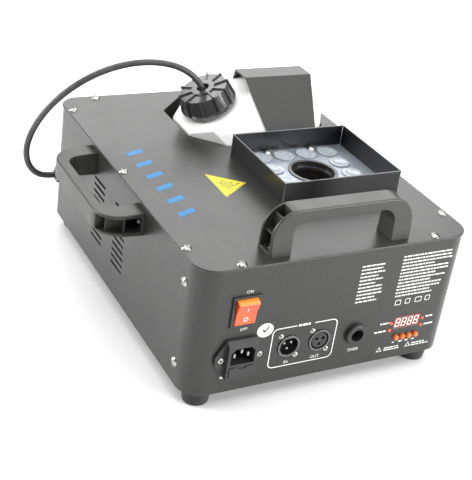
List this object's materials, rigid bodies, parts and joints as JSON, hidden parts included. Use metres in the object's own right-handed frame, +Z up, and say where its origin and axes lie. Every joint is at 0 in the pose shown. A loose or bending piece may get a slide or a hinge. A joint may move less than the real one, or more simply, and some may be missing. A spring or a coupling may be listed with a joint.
{
  "type": "fog machine",
  "caption": "Black sheet-metal vertical fog machine with a lamp ring round its upward nozzle, a white fluid tank in a rear well and two bridge handles.",
  "frame": {"origin": "on the floor, at the middle of the overall plan box of the machine with its handles and sockets, the hose left aside", "axes": "+Z up, control panel facing -Y, +X to the right along the panel, the side handle on the -X side"},
  "size_m": [0.3456, 0.3898, 0.226],
  "materials": {
    "case_black": "fine-textured satin black powder coat",
    "shroud_black": "satin black powder coat",
    "moulded_black": "fine-grained satin black",
    "cap_black": "semi-gloss black",
    "tank_white": "waxy translucent white",
    "rocker_red": "glossy orange-red",
    "button_orange": "satin orange",
    "nickel": "bright nickel plate",
    "dark_nickel": "satin dark nickel",
    "black_steel": "blackened",
    "foot_rubber": "matte black",
    "hose_black": "satin black",
    "seal_rubber": "matte",
    "lens_clear": "clear moulded",
    "plate_blue_grey": "satin blue-grey",
    "board_green": "solder mask",
    "parts_dark": "moulded",
    "aluminium": "cast",
    "jacket_steel": "galvanised",
    "tube_clear": "clear",
    "brass": "turned",
    "display_red": "dark red window",
    "led_red": "tinted",
    "foam_grey": "foam",
    "fuse_glass": "clear"
  },
  "bodies": {
    "machine": {"base_tray": "case_black", "body_shell": "case_black", "front_panel": "case_black", "top_cover": "case_black", "tank_well": "case_black", "tank_pad": "foam_grey", "tank_bracket": "case_black", "fluid_tank": "tank_white", "dip_tube": "tube_clear", "dip_filter": "parts_dark", "lamp_shroud": "shroud_black", "lens_plate": "plate_blue_grey", "led_lenses": "lens_clear", "led_board": "board_green", "nozzle_sleeve": "black_steel", "fog_nozzle": "brass", "heater_block": "aluminium", "heater_jacket": "jacket_steel", "inner_supports": "jacket_steel", "thermostat": "parts_dark", "pump_body": "parts_dark", "feed_tube": "tube_clear", "delivery_tube": "tube_clear", "fan_frame": "parts_dark", "main_board": "board_green", "board_parts": "parts_dark", "board_posts": "nickel", "panel_board": "board_green", "display": "display_red", "status_leds": "led_red", "button_switches": "parts_dark", "switch_frame": "moulded_black", "power_inlet": "moulded_black", "inlet_pins": "nickel", "xlr_in_shell": "dark_nickel", "xlr_in_pins": "nickel", "xlr_out_shell": "dark_nickel", "xlr_out_insert": "moulded_black", "timer_socket": "moulded_black", "timer_insert": "moulded_black", "panel_screws": "nickel", "case_screws": "black_steel", "lamp_screws": "black_steel", "handle_screws": "black_steel", "rubber_feet": "foot_rubber", "top_handle": "moulded_black", "side_handle": "moulded_black", "hose_fitting": "black_steel", "supply_hose": "hose_black"},
    "switch_rocker_body": {"switch_rocker": "rocker_red"},
    "fuse_drawer_body": {"fuse_drawer": "moulded_black", "fuse_link": "fuse_glass"},
    "cap_seal_body": {"cap_seal": "seal_rubber"},
    "tank_cap_body": {"tank_cap": "cap_black"},
    "pump_piston_body": {"pump_piston": "jacket_steel"},
    "fan_rotor_body": {"fan_rotor": "parts_dark"},
    "button_menu_body": {"button_menu": "button_orange"},
    "button_up_body": {"button_up": "button_orange"},
    "button_down_body": {"button_down": "button_orange"},
    "button_enter_body": {"button_enter": "button_orange"}
  },
  "joints": [
    {"name": "switch_tilt", "type": "hinge", "parent": "machine", "child": "switch_rocker_body", "pos_m": [-0.07718, -0.1846, 0.1065], "axis": [-1, 0, 0], "range_deg": [0, 22]},
    {"name": "fuse_drawer_slide", "type": "slide", "parent": "machine", "child": "fuse_drawer_body", "axis": [0, -1, 0], "range_m": [0, 0.018]},
    {"name": "cap_rise", "type": "slide", "parent": "machine", "child": "cap_seal_body", "axis": [-0.454, 0, 0.891], "range_m": [0, 0.0045]},
    {"name": "cap_turn", "type": "hinge", "parent": "cap_seal_body", "child": "tank_cap_body", "pos_m": [0.01702, 0.1039, 0.17251], "axis": [-0.454, 0, 0.891], "range_deg": [0, 540]},
    {"name": "pump_stroke", "type": "slide", "parent": "machine", "child": "pump_piston_body", "axis": [0, 1, 0], "range_m": [-0.003, 0.003], "stiffness_N_per_m": 1500},
    {"name": "fan_spin", "type": "hinge", "parent": "machine", "child": "fan_rotor_body", "pos_m": [0.15832, -0.0061, 0.08], "axis": [1, 0, 0], "continuous": true},
    {"name": "press_menu", "type": "slide", "parent": "machine", "child": "button_menu_body", "axis": [0, 1, 0], "range_m": [0, 0.0008], "stiffness_N_per_m": 600},
    {"name": "press_up", "type": "slide", "parent": "machine", "child": "button_up_body", "axis": [0, 1, 0], "range_m": [0, 0.0008], "stiffness_N_per_m": 600},
    {"name": "press_down", "type": "slide", "parent": "machine", "child": "button_down_body", "axis": [0, 1, 0], "range_m": [0, 0.0008], "stiffness_N_per_m": 600},
    {"name": "press_enter", "type": "slide", "parent": "machine", "child": "button_enter_body", "axis": [0, 1, 0], "range_m": [0, 0.0008], "stiffness_N_per_m": 600}
  ],
  "couplings": [
    {"joint": "cap_turn", "follows": "cap_rise", "rad_per_m": 2094.4}
  ]
}
